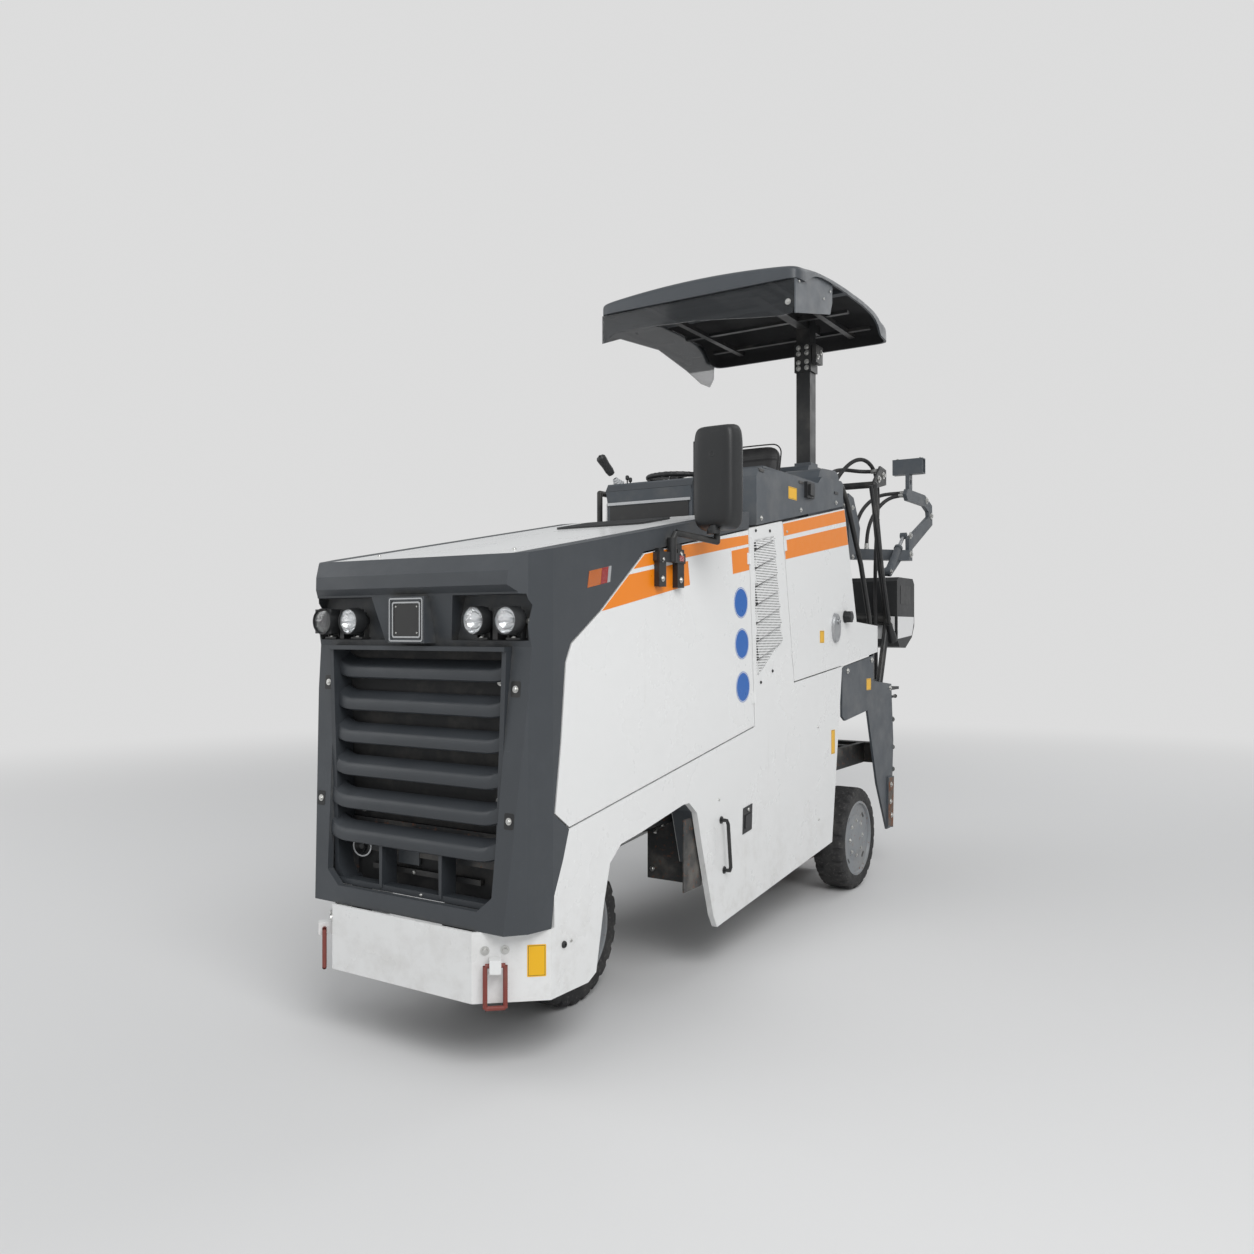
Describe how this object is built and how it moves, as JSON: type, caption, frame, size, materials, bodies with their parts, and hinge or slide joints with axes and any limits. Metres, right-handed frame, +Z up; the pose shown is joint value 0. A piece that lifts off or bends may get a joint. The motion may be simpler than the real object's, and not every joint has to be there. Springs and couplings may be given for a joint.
{
  "type": "cold planer milling machine",
  "caption": "Compact wheeled cold planer with a slatted front, striped side doors, milling drum, operator platform, lifting canopy and rear conveyor carrier.",
  "frame": {"origin": "on the ground, on the machine's centre line, below the rear axle, which is also below the milling drum's axis", "axes": "+Y towards the rear of the machine, which faces -Y; +X towards its left side; +Z up"},
  "size_m": [1.548, 5.61, 3.9049],
  "materials": {
    "white_panel": "satin",
    "white_paint": "satin",
    "grey_plastic": "satin",
    "slate_paint": "satin",
    "frame_paint": "matte",
    "black_paint": "satin",
    "black_plastic": "matte",
    "engine": "matte",
    "radiator_core": "matte",
    "lamp_glass": "gloss",
    "badge_frame": "satin",
    "deck_steel": "matte",
    "seat_cover": "matte",
    "chrome_steel": "polished",
    "worn_steel": "worn",
    "smoked_screen": "gloss",
    "ring_red": "satin",
    "solid_tyre": "matte",
    "rim_paint": "satin"
  },
  "bodies": {
    "chassis": {"main_frame": "frame_paint", "engine_block": "engine", "radiator": "radiator_core", "front_bumper": "white_paint", "front_fascia": "white_panel", "grille": "grey_plastic", "headlights": "lamp_glass", "badge_plate": "badge_frame", "left_skirt": "white_panel", "right_skirt": "white_panel", "right_rear_panel": "white_panel", "access_steps": "frame_paint", "tank_body": "slate_paint", "platform_deck": "deck_steel", "rear_cabinet": "slate_paint", "left_side_box": "slate_paint", "console": "slate_paint", "seat": "seat_cover", "joystick": "black_plastic", "left_grab_rail": "black_paint", "right_handrail": "black_paint", "canopy_mast": "slate_paint", "steering_barrel": "black_paint", "left_rear_leg": "chrome_steel", "right_rear_leg": "chrome_steel", "drum_housing": "worn_steel", "left_side_plate": "slate_paint", "right_side_plate": "slate_paint", "rear_frame": "black_paint", "rear_light_box": "black_plastic"},
    "hood": {"hood": "white_panel"},
    "left_engine_door": {"left_engine_door": "white_panel", "mirror_arm": "black_paint", "left_mirror": "black_plastic"},
    "right_engine_door": {"right_engine_door": "white_panel"},
    "left_rear_door": {"left_rear_door": "white_panel"},
    "front_bogie": {"front_bogie": "frame_paint"},
    "steering_rod": {"steering_rod": "chrome_steel"},
    "milling_drum": {"milling_drum": "worn_steel"},
    "steering_wheel": {"steering_wheel": "black_plastic"},
    "canopy": {"canopy_post": "black_paint", "canopy_roof": "grey_plastic", "left_canopy_screen": "smoked_screen", "right_canopy_screen": "smoked_screen"},
    "conveyor_carrier": {"conveyor_carrier": "slate_paint"},
    "left_lashing_ring": {"left_lashing_ring": "ring_red"},
    "right_lashing_ring": {"right_lashing_ring": "ring_red"},
    "front_left_wheel": {"front_left_tyre": "solid_tyre", "front_left_rim": "rim_paint"},
    "front_right_wheel": {"front_right_tyre": "solid_tyre", "front_right_rim": "rim_paint"},
    "rear_left_wheel": {"rear_left_tyre": "solid_tyre", "rear_left_rim": "rim_paint"},
    "rear_right_wheel": {"rear_right_tyre": "solid_tyre", "rear_right_rim": "rim_paint"}
  },
  "joints": [
    {"name": "hood_hinge", "type": "hinge", "parent": "chassis", "child": "hood", "pos_m": [0, -1.665, 2.3285], "axis": [-1, 0, 0], "range_deg": [0, 55]},
    {"name": "left_engine_door_hinge", "type": "hinge", "parent": "chassis", "child": "left_engine_door", "pos_m": [0.614, -1.585, 1.19], "axis": [0, -0.0703, 0.9975], "range_deg": [0, 80]},
    {"name": "right_engine_door_hinge", "type": "hinge", "parent": "chassis", "child": "right_engine_door", "pos_m": [-0.614, -1.659, 2.23958], "axis": [0, 0.0703, -0.9975], "range_deg": [0, 80]},
    {"name": "left_rear_door_hinge", "type": "hinge", "parent": "chassis", "child": "left_rear_door", "pos_m": [0.614, -1.237, 2.31554], "axis": [0, 0.1809, -0.9835], "range_deg": [0, 75]},
    {"name": "steer", "type": "hinge", "parent": "chassis", "child": "front_bogie", "pos_m": [0, -2.74, 0.745], "axis": [0, 0, 1], "range_deg": [-40, 40]},
    {"name": "steering_rod_slide", "type": "slide", "parent": "chassis", "child": "steering_rod", "axis": [0, 1, 0], "range_m": [-0.135, 0.135]},
    {"name": "front_left_wheel_spin", "type": "hinge", "parent": "front_bogie", "child": "front_left_wheel", "pos_m": [0.18, -2.74, 0.33], "axis": [1, 0, 0], "continuous": true},
    {"name": "front_right_wheel_spin", "type": "hinge", "parent": "front_bogie", "child": "front_right_wheel", "pos_m": [-0.18, -2.74, 0.33], "axis": [1, 0, 0], "continuous": true},
    {"name": "rear_left_wheel_spin", "type": "hinge", "parent": "chassis", "child": "rear_left_wheel", "pos_m": [0.51, 0, 0.33], "axis": [1, 0, 0], "continuous": true},
    {"name": "rear_right_wheel_spin", "type": "hinge", "parent": "chassis", "child": "rear_right_wheel", "pos_m": [-0.51, 0, 0.33], "axis": [1, 0, 0], "continuous": true},
    {"name": "drum_spin", "type": "hinge", "parent": "chassis", "child": "milling_drum", "pos_m": [-0.05, 0, 0.378], "axis": [1, 0, 0], "continuous": true},
    {"name": "steering_wheel_turn", "type": "hinge", "parent": "chassis", "child": "steering_wheel", "pos_m": [0.01, -1.375, 2.588], "axis": [0, 0, 1], "continuous": true},
    {"name": "canopy_slide", "type": "slide", "parent": "chassis", "child": "canopy", "axis": [0, 0, 1], "range_m": [-0.35, 0]},
    {"name": "conveyor_slew", "type": "hinge", "parent": "chassis", "child": "conveyor_carrier", "pos_m": [0, 0.83, 1.9], "axis": [0, 0, 1], "range_deg": [-25, 25]},
    {"name": "left_lashing_ring_swing", "type": "hinge", "parent": "chassis", "child": "left_lashing_ring", "pos_m": [0.47111, -3.55565, 0.437], "axis": [-0.7489, -0.6627, 0], "range_deg": [0, 100]},
    {"name": "right_lashing_ring_swing", "type": "hinge", "parent": "chassis", "child": "right_lashing_ring", "pos_m": [-0.47111, -3.55565, 0.437], "axis": [-0.7489, 0.6627, 0], "range_deg": [0, 100]}
  ],
  "couplings": [
    {"joint": "steering_rod_slide", "follows": "steer", "m_per_rad": 0.184}
  ]
}
